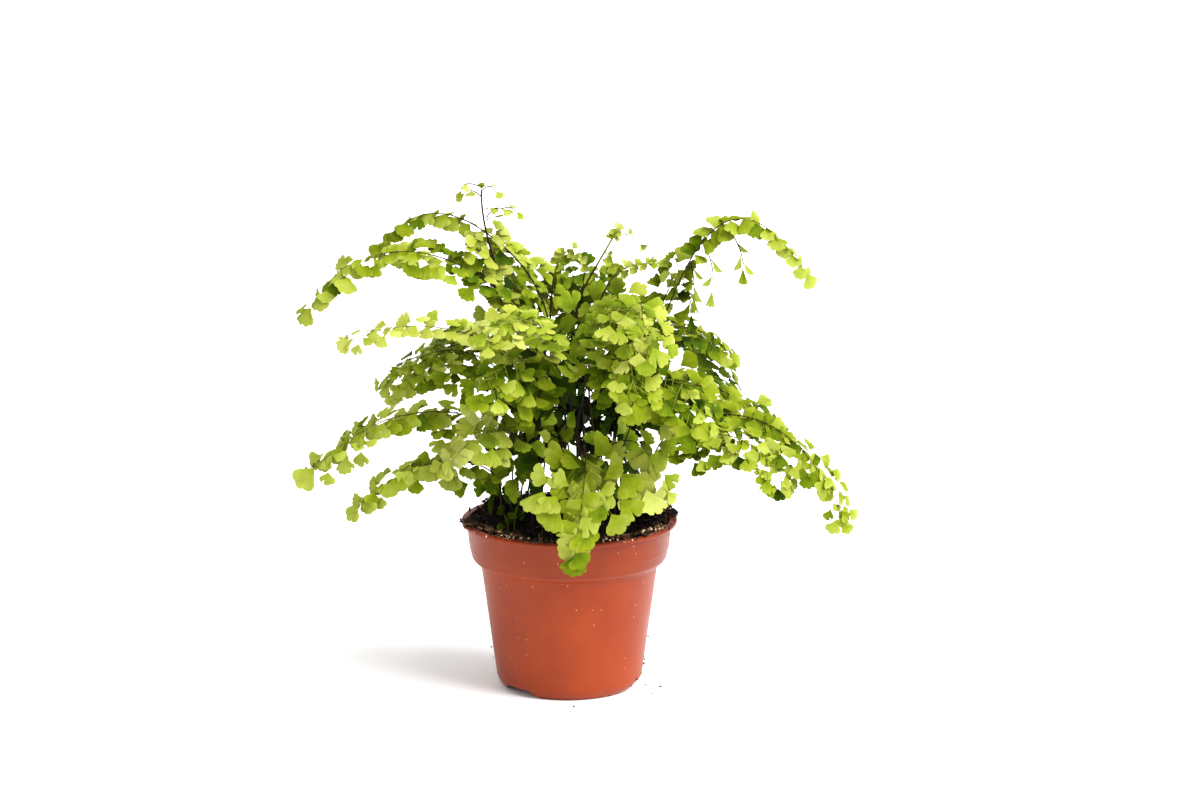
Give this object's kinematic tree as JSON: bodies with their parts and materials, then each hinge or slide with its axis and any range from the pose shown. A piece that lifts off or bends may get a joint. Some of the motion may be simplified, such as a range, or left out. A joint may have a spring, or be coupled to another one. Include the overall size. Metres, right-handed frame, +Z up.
{
  "type": "potted fern",
  "caption": "Arching maidenhair fern with fan-shaped leaflets on thin dark stems, growing in soil in a round tapered nursery pot with a wide collar.",
  "frame": {"origin": "middle of the flat pad under the pot, on the surface that the pot stands on", "axes": "+Z up along the pot's axis, +X to the right seen from the front, -Y towards the front"},
  "size_m": [0.3323, 0.2438, 0.3077],
  "materials": {
    "pot": "satin",
    "soil": "matte",
    "stipe": "satin",
    "leaf_young": "matte",
    "leaf_mid": "matte",
    "leaf_deep": "matte"
  },
  "bodies": {
    "root": {"pot": "pot", "soil": "soil", "stipe_left_arch": "stipe", "frond_left_arch": "leaf_mid", "stipe_upper_left": "stipe", "frond_upper_left": "leaf_mid", "stipe_spire": "stipe", "frond_spire": "leaf_young", "stipe_left_light": "stipe", "frond_left_light": "leaf_young", "stipe_left_shade": "stipe", "frond_left_shade": "leaf_deep", "stipe_left_long": "stipe", "frond_left_long": "leaf_mid", "stipe_left_low": "stipe", "frond_left_low": "leaf_deep", "stipe_front_hanging": "stipe", "frond_front_hanging": "leaf_mid", "stipe_front_right": "stipe", "frond_front_right": "leaf_young", "stipe_front_left": "stipe", "frond_front_left": "leaf_young", "stipe_right_arch": "stipe", "frond_right_arch": "leaf_mid", "stipe_right_fan": "stipe", "frond_right_fan": "leaf_mid", "stipe_right_back": "stipe", "frond_right_back": "leaf_deep", "stipe_right_mid": "stipe", "frond_right_mid": "leaf_deep", "stipe_right_long": "stipe", "frond_right_long": "leaf_mid", "stipe_right_low": "stipe", "frond_right_low": "leaf_mid", "stipe_front_light": "stipe", "frond_front_light": "leaf_young", "stipe_front_pendant": "stipe", "frond_front_pendant": "leaf_mid", "stipe_right_front": "stipe", "frond_right_front": "leaf_mid", "stipe_pale_front": "stipe", "frond_pale_front": "leaf_young", "stipe_left_front": "stipe", "frond_left_front": "leaf_mid", "stipe_crown_left": "stipe", "frond_crown_left": "leaf_mid", "stipe_crown_mid": "stipe", "frond_crown_mid": "leaf_deep", "stipe_crown_right": "stipe", "frond_crown_right": "leaf_mid", "stipe_back_left": "stipe", "frond_back_left": "leaf_deep", "stipe_back_mid": "stipe", "frond_back_mid": "leaf_mid", "stipe_back_right": "stipe", "frond_back_right": "leaf_deep", "frond_young_tall": "leaf_young", "frond_young_bent": "leaf_young", "frond_young_mid": "leaf_young"}
  },
  "joints": []
}
